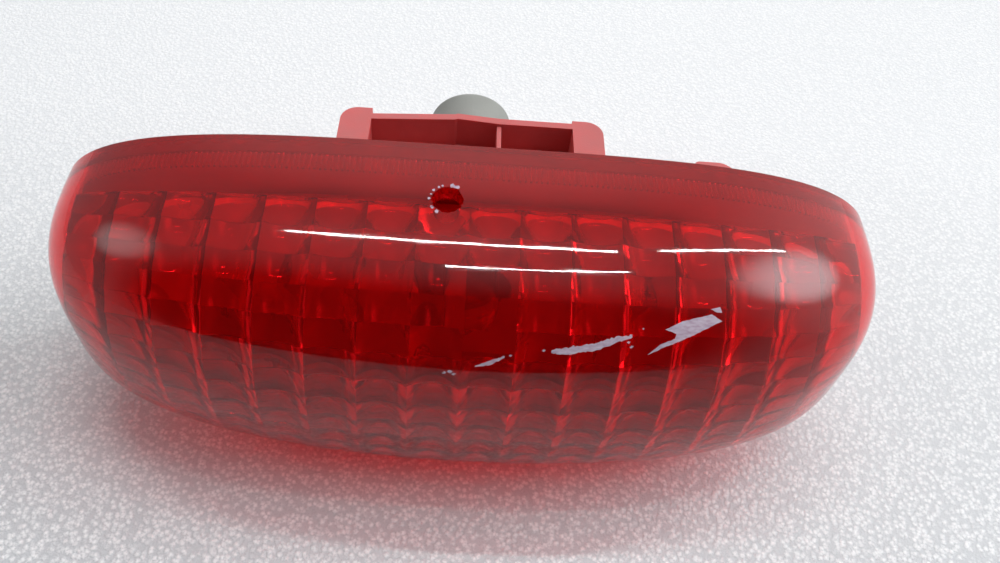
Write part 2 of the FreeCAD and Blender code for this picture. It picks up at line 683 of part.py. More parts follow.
def filament():
    """Coiled filament between the two leads."""
    span = 2 * (LEAD_X - LEAD_R - LEAD_CLEARANCE - FILAMENT_WIRE_R)
    helix = Part.makeHelix(span / FILAMENT_TURNS, span, FILAMENT_COIL_R)
    start = V(FILAMENT_COIL_R, 0, 0)
    section = Part.Wire([Part.makeCircle(FILAMENT_WIRE_R, start, Y_AXIS)])
    coil = Part.Wire(helix).makePipeShell([section], True, True)
    coil.rotate(V(0, 0, 0), Y_AXIS, 90)
    coil.translate(V(-span / 2, FILAMENT_Y, SOCKET_Z))
    return coil


def parts():
    """Every separate piece of the lamp by its node name."""
    return {
        "outer_lens": outer_lens(),
        "lens_bond": lens_bond(),
        "rear_housing": rear_housing(),
        "body_gasket": body_gasket(),
        "vent_foam": vent_foam(),
        "fixing_insert_left": fixing_insert(-1),
        "fixing_insert_right": fixing_insert(1),
        "reflector": reflector(),
        "reflector_screw_left": reflector_screw(-1),
        "reflector_screw_right": reflector_screw(1),
        "holder_body": holder_body(),
        "holder_seal": holder_seal(),
        "terminal_retainer": retainer(),
        "contact_negative": contact(-1),
        "contact_positive": contact(1),
        "bulb_glass": bulb_glass(),
        "lead_wire_negative": lead_wire(-1),
        "lead_wire_positive": lead_wire(1),
        "filament": filament(),
    }


os.makedirs("parts", exist_ok=True)
for name, shape in parts().items():
    print(name, shape.isValid(), len(shape.Solids), round(shape.Volume, 1))
    shape.exportStep("parts/" + name + ".step")
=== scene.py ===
"""Look of an oval high-level brake lamp, built round its packed construction model.

The lens is a thick red acrylic dome whose inside is moulded into cushion optics. Behind it
stand the metallised reflector, the red housing and the grey twist-lock bulb holder.
All sizes are in metres unless a name says otherwise.
"""
import logging
import math
from dataclasses import dataclass, field, replace
from enum import Enum
from typing import Callable

import bmesh
import bpy
import numpy as np
from mathutils import Matrix, Vector
from mathutils.bvhtree import BVHTree


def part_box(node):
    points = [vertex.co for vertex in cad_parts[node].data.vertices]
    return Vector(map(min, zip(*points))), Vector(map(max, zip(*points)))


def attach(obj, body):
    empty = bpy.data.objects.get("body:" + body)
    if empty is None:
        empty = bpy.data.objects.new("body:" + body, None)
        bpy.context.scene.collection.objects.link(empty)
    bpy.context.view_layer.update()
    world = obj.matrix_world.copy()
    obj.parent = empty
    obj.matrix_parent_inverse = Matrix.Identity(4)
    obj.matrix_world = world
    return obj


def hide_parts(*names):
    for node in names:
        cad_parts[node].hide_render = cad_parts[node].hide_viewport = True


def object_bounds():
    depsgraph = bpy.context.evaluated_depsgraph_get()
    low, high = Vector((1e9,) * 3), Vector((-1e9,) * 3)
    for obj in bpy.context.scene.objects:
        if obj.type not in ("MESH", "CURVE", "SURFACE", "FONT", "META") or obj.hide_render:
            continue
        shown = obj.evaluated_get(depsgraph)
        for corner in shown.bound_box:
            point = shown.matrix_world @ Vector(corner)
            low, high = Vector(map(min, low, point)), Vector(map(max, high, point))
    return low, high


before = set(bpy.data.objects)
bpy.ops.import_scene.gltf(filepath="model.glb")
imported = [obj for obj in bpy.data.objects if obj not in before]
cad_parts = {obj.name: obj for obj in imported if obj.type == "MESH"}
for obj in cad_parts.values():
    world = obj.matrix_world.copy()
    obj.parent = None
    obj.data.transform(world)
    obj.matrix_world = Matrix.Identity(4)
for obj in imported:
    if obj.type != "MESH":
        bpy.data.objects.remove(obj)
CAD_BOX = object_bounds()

MM = 0.001
SEED = 7
RICH = 4.0  # octaves of a cloudy pattern
PLAIN = 2.0  # octaves of a fine even pattern
HALVINGS = 52  # bisection steps that reach full precision
ROUNDS = 40  # fixed-point steps that settle a superellipse's share
STEEPEST = 1e8  # stands for the endless slope at a quarter turn
NO_LENGTH = 1e-9
NO_AREA = 1e-14
LOG = logging.getLogger("lamp")
Colour = tuple[float, float, float, float]
Point = tuple[float, float, float]
Spot = tuple[float, float]
Tree = bpy.types.NodeTree
Socket = bpy.types.NodeSocket
Material = bpy.types.Material
Piece = bpy.types.Object
Array = np.ndarray
Placer = Callable[[float, float], tuple[Vector, Vector]]


class Body(Enum):
    """The rigid body that the added pieces ride on."""

    LAMP = "lamp_body"


class Slot(Enum):
    """A slot name for the added pieces; nothing in this script gives it to them."""

    ACRYLIC = "red_acrylic"


# --- small helpers


def linear(code: str) -> Colour:
    """Turns an sRGB hex colour into a linear one.

    Args:
        code: colour as "#RRGGBB".

    Returns:
        The linear red, green and blue, and full opacity.
    """
    channels = []
    for start in (1, 3, 5):
        value = int(code[start:start + 2], 16) / 255
        channels.append(value / 12.92 if value <= 0.04045 else ((value + 0.055) / 1.055) ** 2.4)
    return (channels[0], channels[1], channels[2], 1.0)


def add_node(tree: Tree, kind: str, inputs: dict | None = None, **settings: object) -> bpy.types.Node:
    """Adds a node with its settings, values and links.

    Args:
        tree: node tree to add to.
        kind: the node's type name.
        inputs: socket name or index to a value, or to an output socket to link.
        **settings: the node's own properties.

    Returns:
        The new node.
    """
    node = tree.nodes.new(kind)
    for name, value in settings.items():
        setattr(node, name, value)
    for key, value in (inputs or {}).items():
        socket = node.inputs[key]
        if isinstance(value, Socket):
            tree.links.new(value, socket)
        else:
            socket.default_value = value
    return node


def mesh_object(name: str, vertices: list, faces: list) -> Piece:
    """Makes a mesh object in the scene.

    Args:
        name: the piece's name.
        vertices: places in metres.
        faces: vertex numbers of each face.

    Returns:
        The new object.
    """
    mesh = bpy.data.meshes.new(name)
    mesh.from_pydata(vertices, [], faces)
    piece = bpy.data.objects.new(name, mesh)
    bpy.context.scene.collection.objects.link(piece)
    return piece


def close_shell(piece: Piece, merge: float = 2e-6) -> None:
    """Merges doubled points and turns the faces of a closed shell outward.

    Args:
        piece: the mesh object.
        merge: points nearer than this become one.
    """
    shell = bmesh.new()
    shell.from_mesh(piece.data)
    bmesh.ops.remove_doubles(shell, verts=shell.verts, dist=merge)
    bmesh.ops.dissolve_degenerate(shell, edges=shell.edges, dist=merge)
    bmesh.ops.recalc_face_normals(shell, faces=shell.faces)
    shell.to_mesh(piece.data)
    shell.free()


def shade(piece: Piece, crease_deg: float) -> None:
    """Shades a piece smooth, with the edges that turn more than an angle left sharp."""
    piece.data.shade_smooth()
    piece.data.set_sharp_from_angle(angle=math.radians(crease_deg))


def baked(piece: Piece) -> None:
    """Replaces a piece's mesh by its evaluated result and drops its modifiers.

    Args:
        piece: the mesh object.
    """
    graph = bpy.context.evaluated_depsgraph_get()
    result = bpy.data.meshes.new_from_object(piece.evaluated_get(graph))
    piece.modifiers.clear()
    piece.data = result


def finish_piece(piece: Piece, material: Material, body: Body) -> None:
    """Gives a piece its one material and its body.

    Args:
        piece: the finished piece.
        material: what it is made of.
        body: the body it rides on.
    """
    piece.data.materials.clear()
    piece.data.materials.append(material)
    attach(piece, body.value)
    LOG.info("%s: %d faces", piece.name, len(piece.data.polygons))


def dress(node: str, material: Material) -> None:
    """Gives a construction piece its material.

    Args:
        node: the construction piece's name.
        material: what it is made of.
    """
    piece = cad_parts[node]
    piece.data.materials.clear()
    piece.data.materials.append(material)
    LOG.info("%s: %s", node, material.name)


# --- finishes


@dataclass(frozen=True)
class Finish:
    """A surface finish that builds one material."""

    name: str

    def build(self) -> Material:
        """Makes the material from the finish's own surface."""
        material = bpy.data.materials.new(self.name)
        material.use_nodes = True
        tree = material.node_tree
        tree.nodes.clear()
        coords = add_node(tree, "ShaderNodeTexCoord").outputs["Object"]
        add_node(tree, "ShaderNodeOutputMaterial", {"Surface": self.surface(tree, coords)})
        return material

    def surface(self, tree: Tree, coords: Socket) -> Socket:
        """Builds the shader. Each finish has its own.

        Args:
            tree: the material's tree.
            coords: the piece's own coordinates.

        Returns:
            The shader's output.
        """
        raise NotImplementedError


def grain(tree: Tree, coords: Socket, size_mm: float, detail: float = 3.0) -> Socket:
    """Noise from 0 to 1 whose features are about a given size, with a number of octaves."""
    inputs = {"Vector": coords, "Scale": 1 / (size_mm * MM), "Detail": detail}
    return add_node(tree, "ShaderNodeTexNoise", inputs).outputs[0]


def stretched(tree: Tree, coords: Socket, squeeze: tuple[float, float, float]) -> Socket:
    """Coordinates squeezed along the axes, for drawn-out patterns."""
    return add_node(tree, "ShaderNodeMapping", {"Vector": coords, "Scale": squeeze}).outputs[0]


def between(tree: Tree, value: Socket, low: float, high: float,
            start: float = 0.3, end: float = 0.7, ramp: str = "LINEAR") -> Socket:
    """Maps a value from start to end onto a range from low to high, clamped."""
    inputs = {"Value": value, "From Min": start, "From Max": end, "To Min": low, "To Max": high}
    return add_node(tree, "ShaderNodeMapRange", inputs, interpolation_type=ramp).outputs[0]


def blended(tree: Tree, share: Socket, first: Colour | Socket, second: Colour | Socket) -> Socket:
    """Mixes two colours by a share."""
    mix = add_node(tree, "ShaderNodeMix", {0: share, 6: first, 7: second}, data_type="RGBA")
    return mix.outputs[2]


def bumped(tree: Tree, height: Socket, depth_mm: float, strength: float = 1.0) -> Socket:
    """A surface normal from a height of a given depth."""
    inputs = {"Height": height, "Distance": depth_mm * MM, "Strength": strength}
    return add_node(tree, "ShaderNodeBump", inputs).outputs[0]


def voronoi(tree: Tree, coords: Socket, size_mm: float) -> Socket:
    """Distance to the middle of the nearest of many cells of a given size."""
    inputs = {"Vector": coords, "Scale": 1 / (size_mm * MM)}
    return add_node(tree, "ShaderNodeTexVoronoi", inputs).outputs["Distance"]


def principled(tree: Tree, inputs: dict) -> Socket:
    """A Principled surface with the given inputs."""
    return add_node(tree, "ShaderNodeBsdfPrincipled", inputs).outputs[0]


def mixed(tree: Tree, share: Socket, first: Socket, second: Socket) -> Socket:
    """Mixes two shaders by a share."""
    return add_node(tree, "ShaderNodeMixShader", {0: share, 1: first, 2: second}).outputs[0]


def open_to_lamps(tree: Tree, glass: Socket, tint: str) -> Socket:
    """Swaps a glass shader for tinted clearness on shadow rays, so lamps light what is behind.

    Args:
        tree: the material's tree.
        glass: the glass shader.
        tint: colour the lamps' light takes.

    Returns:
        The swapping shader.
    """
    clear = add_node(tree, "ShaderNodeBsdfTransparent", {"Color": linear(tint)})
    shadow = add_node(tree, "ShaderNodeLightPath").outputs["Is Shadow Ray"]
    return mixed(tree, shadow, glass, clear.outputs[0])


@dataclass(frozen=True)
class RedAcrylic(Finish):
    """Injection-moulded acrylic dyed red: clear, glossy, hairline scratched and weathered.

    The dye scatters a little light inside the wall, so shaded places stay a pure deep red,
    and the weathered skin puts a soft halo round each lamp's reflection.
    """

    name: str = "acrylic_red_moulded"
    tint: str = "#EE0E16"
    lamp_tint: str = "#D4161A"
    glow: str = "#D80306"
    glow_low: float = 0.07
    glow_high: float = 0.12
    glow_roughness: float = 0.27
    ior: float = 1.49
    patch_mm: float = 14.0
    scratch_mm: float = 0.6
    scratch_squeeze: Point = (0.08, 1.0, 1.0)
    scratch_depth_mm: float = 0.004

    def surface(self, tree: Tree, coords: Socket) -> Socket:
        """Refracting red body with a share of scattering dye, which lets lamps shine through."""
        patches = grain(tree, coords, self.patch_mm)
        hairlines = grain(tree, stretched(tree, coords, self.scratch_squeeze), self.scratch_mm, PLAIN)
        normal = bumped(tree, hairlines, self.scratch_depth_mm, 0.5)
        glass = principled(tree, {
            "Base Color": linear(self.tint), "Roughness": between(tree, hairlines, 0.02, 0.09, 0.45, 0.8),
            "IOR": self.ior, "Transmission Weight": 1.0, "Normal": normal})
        dye = principled(tree, {
            "Base Color": linear(self.glow), "Roughness": self.glow_roughness, "IOR": self.ior,
            "Normal": normal})
        share = between(tree, patches, self.glow_low, self.glow_high)
        return mixed(tree, share, open_to_lamps(tree, glass, self.lamp_tint), dye)


@dataclass(frozen=True)
class MouldedPlastic(Finish):
    """Moulded thermoplastic with spark-eroded grain, faint flow mottling and settled dust."""

    name: str
    colour: str
    shade_colour: str
    roughness: float
    grain_mm: float = 0.35
    grain_depth_mm: float = 0.03
    dust: str = "#B9A9A6"
    dust_share: float = 0.16
    depth_mm: float = 0.0
    depth_share: float = 0.35
    depth_reach: Point = (1.0, 0.12, 0.10)  # how far red, green and blue spread
    mottle_mm: float = 9.0
    ior: float = 1.53

    def surface(self, tree: Tree, coords: Socket) -> Socket:
        """Mottled plastic with dust on the faces that look up."""
        mottle = grain(tree, coords, self.mottle_mm, RICH)
        fine = grain(tree, coords, self.grain_mm, PLAIN)
        base = blended(tree, between(tree, mottle, 0.0, 1.0), linear(self.colour), linear(self.shade_colour))
        normal = add_node(tree, "ShaderNodeNewGeometry").outputs["Normal"]
        facing = add_node(tree, "ShaderNodeSeparateXYZ", {0: normal})
        upward = between(tree, facing.outputs[2], 0.0, self.dust_share, 0.4, 1.0)
        settled = between(tree, mottle, 0.4, 1.0)
        cover = add_node(tree, "ShaderNodeMath", {0: upward, 1: settled}, operation="MULTIPLY")
        inputs = {"Base Color": blended(tree, cover.outputs[0], base, linear(self.dust)),
                  "Roughness": between(tree, fine, self.roughness - 0.06, self.roughness + 0.08),
                  "IOR": self.ior, "Normal": bumped(tree, fine, self.grain_depth_mm)}
        if self.depth_mm:
            inputs |= {"Subsurface Weight": self.depth_share, "Subsurface Radius": self.depth_reach,
                       "Subsurface Scale": self.depth_mm * MM}
        return principled(tree, inputs)


@dataclass(frozen=True)
class MetallisedPlastic(Finish):
    """Plastic with a vacuum-deposited aluminium film: bright, with slight orange peel and dull patches."""

    name: str = "abs_vacuum_metallised"
    colour: str = "#F1F0F1"
    dull: str = "#D2CFD2"
    cloud_mm: float = 11.0
    peel_mm: float = 1.6
    peel_depth_mm: float = 0.02

    def surface(self, tree: Tree, coords: Socket) -> Socket:
        """Bright film that has clouded in places."""
        cloud = grain(tree, coords, self.cloud_mm, RICH)
        peel = grain(tree, coords, self.peel_mm, PLAIN)
        colour = blended(tree, between(tree, cloud, 0.0, 1.0), linear(self.colour), linear(self.dull))
        return principled(tree, {
            "Base Color": colour, "Metallic": 1.0, "Roughness": between(tree, cloud, 0.24, 0.46),
            "Normal": bumped(tree, peel, self.peel_depth_mm)})


@dataclass(frozen=True)
class WorkedMetal(Finish):
    """Turned, drawn or stamped metal with fine lines along one direction and light tarnish."""

    name: str
    colour: str
    tarnish: str
    roughness: float
    squeeze: Point = (1.0, 0.1, 1.0)
    line_mm: float = 0.12
    line_depth_mm: float = 0.008
    stain_mm: float = 2.4

    def surface(self, tree: Tree, coords: Socket) -> Socket:
        """Metal with tool lines and darker stained patches."""
        stain = grain(tree, coords, self.stain_mm, RICH)
        lines = grain(tree, stretched(tree, coords, self.squeeze), self.line_mm, PLAIN)
        colour = blended(tree, between(tree, stain, 0.0, 0.8), linear(self.colour), linear(self.tarnish))
        return principled(tree, {
            "Base Color": colour, "Metallic": 1.0,
            "Roughness": between(tree, lines, self.roughness - 0.08, self.roughness + 0.12),
            "Normal": bumped(tree, lines, self.line_depth_mm)})


@dataclass(frozen=True)
class Foam(Finish):
    """Expanded foam: small round cells cut open at the surface, nearly black and matt."""

    name: str
    colour: str
    # painted shade: the darker colour of the cell floors
    cell_shade_colour: str
    cell_mm: float
    cell_depth_mm: float = 0.25
    roughness: float = 0.92

    def surface(self, tree: Tree, coords: Socket) -> Socket:
        """Cells as dents whose floors are painted darker as a painted shade."""
        depth = between(tree, voronoi(tree, coords, self.cell_mm), 0.0, 1.0, 0.15, 0.6)
        # painted shade in the hollows of the cells
        colour = blended(tree, depth, linear(self.cell_shade_colour), linear(self.colour))
        return principled(tree, {"Base Color": colour, "Roughness": self.roughness,
                                 "Normal": bumped(tree, depth, self.cell_depth_mm)})


@dataclass(frozen=True)
class MouldedRubber(Finish):
    """Moulded seal rubber or cured adhesive: dark, satin, with a greyish bloom."""

    name: str
    colour: str
    bloom: str
    roughness: float
    bloom_mm: float = 3.0
    skin_mm: float = 0.4
    skin_depth_mm: float = 0.02

    def surface(self, tree: Tree, coords: Socket) -> Socket:
        """Dark rubber under a thin uneven bloom."""
        cloud = grain(tree, coords, self.bloom_mm, RICH)
        colour = blended(tree, between(tree, cloud, 0.0, 0.6), linear(self.colour), linear(self.bloom))
        return principled(tree, {
            "Base Color": colour, "Roughness": between(tree, cloud, self.roughness, self.roughness + 0.15),
            "Normal": bumped(tree, grain(tree, coords, self.skin_mm, PLAIN), self.skin_depth_mm)})


@dataclass(frozen=True)
class ClearGlass(Finish):
    """Soda-lime bulb glass, with the faint ripples of drawn tube."""

    name: str = "glass_soda_lime_clear"
    tint: str = "#F4F7F6"
    ior: float = 1.51
    ripple_mm: float = 4.0
    ripple_depth_mm: float = 0.02

    def surface(self, tree: Tree, coords: Socket) -> Socket:
        """Clear glass that lets lamps shine through."""
        ripple = grain(tree, stretched(tree, coords, (1.0, 0.25, 1.0)), self.ripple_mm, 1.0)
        glass = principled(tree, {
            "Base Color": linear(self.tint), "Roughness": between(tree, ripple, 0.0, 0.03), "IOR": self.ior,
            "Transmission Weight": 1.0, "Normal": bumped(tree, ripple, self.ripple_depth_mm)})
        return open_to_lamps(tree, glass, self.tint)


@dataclass(frozen=True)
class ScrapedAcrylic(Finish):
    """Acrylic torn rough by a blow: the broken skin scatters light and looks pale lilac."""

    name: str = "acrylic_scraped_pale"
    colour: str = "#C6BAC8"
    stain: str = "#A88EA2"
    roughness: float = 0.6
    ior: float = 1.49
    tear_mm: float = 0.5
    tear_depth_mm: float = 0.03

    def surface(self, tree: Tree, coords: Socket) -> Socket:
        """Pale broken skin with fine tearing."""
        tear = grain(tree, stretched(tree, coords, (0.4, 1.0, 1.0)), self.tear_mm, RICH)
        colour = blended(tree, between(tree, tear, 0.0, 1.0), linear(self.colour), linear(self.stain))
        return principled(tree, {"Base Color": colour, "Roughness": self.roughness, "IOR": self.ior,
                                 "Normal": bumped(tree, tear, self.tear_depth_mm)})


@dataclass(frozen=True)
class PaleBoard(Finish):
    """The studio's pale sheet of expanded foam: fused beads with a glossy skin that glints in places.

    Its bead crowns are painted near-white as a painted glint, and its joints are painted greyer towards the
    front as a painted shade.
    """

    name: str = "floor_foamed_polystyrene"
    bead_mm: float = 1.1
    pebble_mm: float = 0.45
    depth_mm: float = 0.09
    # painted glint: the near-white colour of the bead crowns
    crown_glint_colour: str = "#EEEFEF"
    back_joint: str = "#E6E8E9"
    # painted shade: the joints' grey at the front of the floor
    front_shaded_joint: str = "#C4C7C9"
    # y where the painted shade on the joints begins and where it is full
    shade_start: float = 0.05
    shade_full: float = -0.075

    def surface(self, tree: Tree, coords: Socket) -> Socket:
        """Beads with crowns painted near-white as a painted glint, and joints painted greyer towards the
        front as a painted shade.
        """
        crown = between(tree, voronoi(tree, coords, self.bead_mm), 1.0, 0.0, 0.1, 0.75)
        pebble = grain(tree, coords, self.pebble_mm, PLAIN)
        height = add_node(tree, "ShaderNodeMath", {0: crown, 1: pebble}, operation="ADD").outputs[0]
        front = add_node(tree, "ShaderNodeSeparateXYZ", {0: coords}).outputs[1]
        # painted shade: the joints turn greyer from the back towards the front
        front_shade = between(tree, front, 0.1, 1.0, self.shade_start, self.shade_full)
        joint_and_shade = blended(tree, front_shade, linear(self.back_joint), linear(self.front_shaded_joint))
        # painted glint on the crowns, over joints that carry the painted shade
        bead_colour_and_painted_light = blended(tree, between(tree, height, 0.0, 1.0, 0.7, 1.5), joint_and_shade, linear(self.crown_glint_colour))
        return principled(tree, {"Base Color": bead_colour_and_painted_light, "Roughness": between(tree, pebble, 0.2, 0.45),
                                 "Normal": bumped(tree, height, self.depth_mm)})


# --- lens


@dataclass(frozen=True)
class Dome:
    """The lens's outer or inner surface as a formula.

    Its sections parallel to the rim are superellipses, nearly round at the nose and squarer
    at the rim, and its side profile is a superellipse too.
    """

    half_width: float
    half_height: float
    depth: float
    rim_y: float
    rim_squareness: float = 3.7
    nose_squareness: float = 1.9
    belly_squareness: float = 3.2
    dish: float = 0.07

    def inset(self, margin: float) -> "Dome":
        """The same dome, smaller by a margin all round."""
        return replace(self, half_width=self.half_width - margin, half_height=self.half_height - margin,
                       depth=self.depth - margin)

    def squareness(self, share: Array) -> Array:
        """Exponent of the section at each share of the rim's size."""
        return self.nose_squareness + (self.rim_squareness - self.nose_squareness) * share ** 3

    def rise(self, share: Array) -> Array:
        """Height over the rim plane as a share of the depth."""
        fall = np.maximum(1 - share ** self.belly_squareness, 0.0)
        return (1 - self.dish * share ** 2) * fall ** (1 / self.belly_squareness)

    def points(self, across: Array, turn: Array) -> Array:
        """Surface points on a grid.

        Args:
            across: place along the width, from -1 to 1.
            turn: angle about the lens's long axis, from -pi/2 at the bottom rim to pi/2 at the top.

        Returns:
            Points, turn by across by 3.
        """
        x = np.broadcast_to(np.abs(across)[None, :], (len(turn), len(across)))
        slope = np.minimum(np.abs(np.tan(turn)), STEEPEST)[:, None]
        low = x.copy()
        high = np.ones_like(low)
        for _ in range(HALVINGS):
            middle = (low + high) / 2
            power = self.squareness(middle)
            over = middle ** power > x ** power + (slope * self.rise(middle)) ** power
            high = np.where(over, middle, high)
            low = np.where(over, low, middle)
        power = self.squareness(high)
        far = np.maximum(high ** power - x ** power, 0.0) ** (1 / power)
        z = np.where(slope < 1, slope * self.rise(high), far)
        grid = np.empty(x.shape + (3,))
        grid[..., 0] = self.half_width * across[None, :]
        grid[..., 1] = self.rim_y - self.depth * self.rise(high)
        grid[..., 2] = self.half_height * z * np.sign(turn)[:, None]
        return grid

    def over(self, x: float, z: float) -> Vector:
        """The surface point in front of a place on the rim plane.

        Args:
            x: the place across.
            z: the place upward.

        Returns:
            The point.
        """
        u = abs(x) / self.half_width
        v = abs(z) / self.half_height
        share = 0.5
        for _ in range(ROUNDS):
            power = float(self.squareness(share))
            share = (u ** power + v ** power) ** (1 / power)
        return Vector((x, self.rim_y - self.depth * float(self.rise(share)), z))

    def normal(self, x: float, z: float) -> Vector:
        """Outward normal in front of a place on the rim plane.

        Args:
            x: the place across.
            z: the place upward.

        Returns:
            The unit normal.
        """
        step = 0.1 * MM
        along = self.over(x + step, z) - self.over(x - step, z)
        up = self.over(x, z + step) - self.over(x, z - step)
        return along.cross(up).normalized()


def grid_normals(points: Array, centre: Array) -> Array:
    """Unit normals of a grid of points, away from a centre.

    Args:
        points: the grid.
        centre: a point inside it.

    Returns:
        The normals, shaped as the grid.
    """
    along = np.gradient(points, axis=1)
    around = np.gradient(points, axis=0)
    normal = np.cross(along, around)
    length = np.linalg.norm(normal, axis=2, keepdims=True)
    outward = points - centre
    spare = outward / np.maximum(np.linalg.norm(outward, axis=2, keepdims=True), NO_LENGTH)
    normal = np.where(length > NO_AREA, normal / np.maximum(length, NO_AREA), spare)
    facing = np.sum(normal * outward, axis=2, keepdims=True)
    return np.where(facing < 0, -normal, normal)


def grid_faces(rows: int, columns: int, first: int, flip: bool) -> list[tuple[int, ...]]:
    """Four-sided faces of a grid of points.

    Args:
        rows: rows of the grid.
        columns: points in each row.
        first: number of its first point.
        flip: whether the faces turn the other way.

    Returns:
        The faces' point numbers.
    """
    faces = []
    for i in range(rows - 1):
        for j in range(columns - 1):
            a = first + i * columns + j
            face = (a, a + 1, a + columns + 1, a + columns)
            faces.append(face[::-1] if flip else face)
    return faces


@dataclass
class Cells:
    """Samples along one direction of the cushion pattern.

    Each cell keeps its own end samples, so that neighbours can stand at different heights.
    """

    places: Array
    local: Array
    number: Array
    moulded: Array

    @staticmethod
    def along(edges: Array, steps: int, before: Array, after: Array) -> "Cells":
        """Samples cells between edges, with plain stretches before and after them.

        Args:
            edges: ends of the cells, in order.
            steps: spans in each cell.
            before: plain places before the first cell.
            after: plain places after the last cell.

        Returns:
            The samples.
        """
        ramp = np.linspace(0.0, 1.0, steps + 1)
        parts = [(before, np.zeros(len(before)), np.full(len(before), -1), np.zeros(len(before)))]
        for index in range(len(edges) - 1):
            places = edges[index] + (edges[index + 1] - edges[index]) * ramp
            parts.append((places, ramp - 0.5, np.full(steps + 1, index), np.ones(steps + 1)))
        parts.append((after, np.zeros(len(after)), np.full(len(after), len(edges)), np.zeros(len(after))))
        return Cells(*(np.concatenate(part) for part in zip(*parts)))


@dataclass
class LensShell:
    """Outer lens: smooth outside, cushion optics inside, with a hole drilled in the top skirt."""

    dome: Dome
    wall: float = 2.6 * MM
    column_pitch: float = 9.33 * MM
    row_pitch: float = 5.7 * MM
    row_offset: float = 0.8 * MM
    plain_rim: float = 8.9 * MM
    cushion_across: float = 1.9 * MM
    cushion_up: float = 0.35 * MM
    row_step: float = 0.35 * MM
    window_columns: int = 1
    window_low: float = 15.5 * MM
    window_high: float = 33.0 * MM
    window_share: float = 0.12
    steps_across: int = 11
    steps_up: int = 8
    end_steps: int = 14
    rim_steps: int = 9
    outer_steps: int = 84
    profile_points: int = 1441
    hole_x: float = -4.3 * MM
    hole_front: float = 14.0 * MM
    hole_radius: float = 2.55 * MM
    hole_sides: int = 48
    hole_ragged: float = 0.05
    # Height as a share of the dome's half height, then width as a share of the hole's.
    hole_rings: tuple[Spot, ...] = ((0.6, 1.0), (0.955, 1.0), (0.985, 1.16), (1.1, 1.5))

    def row_edges(self, inner: Dome) -> tuple[Array, Array]:
        """Edges of the rows, evenly spaced along the middle profile.

        Args:
            inner: the inner surface.

        Returns:
            Their angles and their lengths along the profile from its middle, from bottom to top.
        """
        turns = np.linspace(-math.pi / 2, math.pi / 2, self.profile_points)
        line = inner.points(np.zeros(1), turns)[:, 0]
        length = np.concatenate([[0.0], np.cumsum(np.linalg.norm(np.diff(line, axis=0), axis=1))])
        half = length[-1] / 2
        length -= half
        reach = half - self.plain_rim
        lowest = math.ceil((-reach - self.row_offset) / self.row_pitch)
        highest = math.floor((reach - self.row_offset) / self.row_pitch)
        marks = self.row_offset + self.row_pitch * np.arange(lowest, highest + 1)
        return np.interp(marks, length, turns), marks

    def columns(self, inner: Dome) -> Cells:
        """Samples across the width: even columns, then a plain end each side.

        Args:
            inner: the inner surface.

        Returns:
            The samples.
        """
        count = int((inner.half_width - self.column_pitch / 2) / self.column_pitch)
        edges = self.column_pitch * np.arange(-count, count + 1) / inner.half_width
        power = inner.rim_squareness
        start = math.asin(edges[-1] ** (power / 2))
        bend = np.linspace(start, math.pi / 2, self.end_steps + 1)
        end = np.sin(bend) ** (2 / power)
        return Cells.along(edges, self.steps_across, -end[::-1], end)

    def rows(self, edges: Array) -> Cells:
        """Samples round the profile: plain rim, rows, plain rim.

        Args:
            edges: angles of the row edges.

        Returns:
            The samples.
        """
        below = np.linspace(-math.pi / 2, edges[0], self.rim_steps + 1)
        above = np.linspace(edges[-1], math.pi / 2, self.rim_steps + 1)
        return Cells.along(edges, self.steps_up, below, above)

    def cushions(self, points: Array, columns: Cells, rows: Cells, marks: Array) -> Array:
        """How far each inner point is moved inward by the optics.

        Args:
            points: the plain inner surface.
            columns: samples across.
            rows: samples round the profile.
            marks: lengths along the profile of the row edges.

        Returns:
            The depth of each point's move.
        """
        share = np.outer(rows.moulded, columns.moulded)
        span = np.ones_like(share)
        for index in range(int(rows.number.max())):
            mine = np.flatnonzero(rows.number == index)
            if len(mine):
                height = np.linalg.norm(points[mine[-1]] - points[mine[0]], axis=1)
                span[mine] = np.minimum(height / self.row_pitch, 1.0)
        middle = int(columns.number.max()) / 2
        near = np.abs(columns.number + 0.5 - middle) < self.window_columns
        centre = (marks[:-1] + marks[1:]) / 2
        chosen = [k for k in range(len(centre)) if self.window_low < centre[k] < self.window_high]
        window = np.outer(np.isin(rows.number, chosen), near)
        share = share * span * np.where(window, self.window_share, 1.0)
        u = columns.local[None, :]
        v = rows.local[:, None]
        bulge = self.cushion_across * (1 - 4 * u ** 2) + self.cushion_up * (1 - 4 * v ** 2)
        return share * (bulge + self.row_step * (v + 0.5))

    def drill(self, piece: Piece) -> None:
        """Cuts the hole, slightly ragged and wider where it broke out.

        Args:
            piece: the lens.
        """
        middle = Vector((self.hole_x, self.dome.rim_y - self.hole_front, 0.0))
        sides = self.hole_sides
        ragged = 1 + self.hole_ragged * np.random.default_rng(SEED).standard_normal(sides)
        vertices = []
        for level, wide in self.hole_rings:
            for index in range(sides):
                angle = 2 * math.pi * index / sides
                reach = self.hole_radius * wide * (ragged[index] if wide > 1 else 1.0)
                vertices.append((middle.x + reach * math.cos(angle), middle.y + reach * math.sin(angle),
                                 level * self.dome.half_height))
        spans = len(self.hole_rings) - 1
        faces = [tuple(range(sides))[::-1], tuple(range(spans * sides, (spans + 1) * sides))]
        for level in range(spans):
            for index in range(sides):
                a = level * sides + index
                b = level * sides + (index + 1) % sides
                faces.append((a, b, b + sides, a + sides))
        cutter = mesh_object("hole_cutter", vertices, faces)
        close_shell(cutter)
        cut = piece.modifiers.new("hole", "BOOLEAN")
        cut.operation = "DIFFERENCE"
        cut.solver = "EXACT"
        cut.object = cutter
        baked(piece)
        bpy.data.objects.remove(cutter)

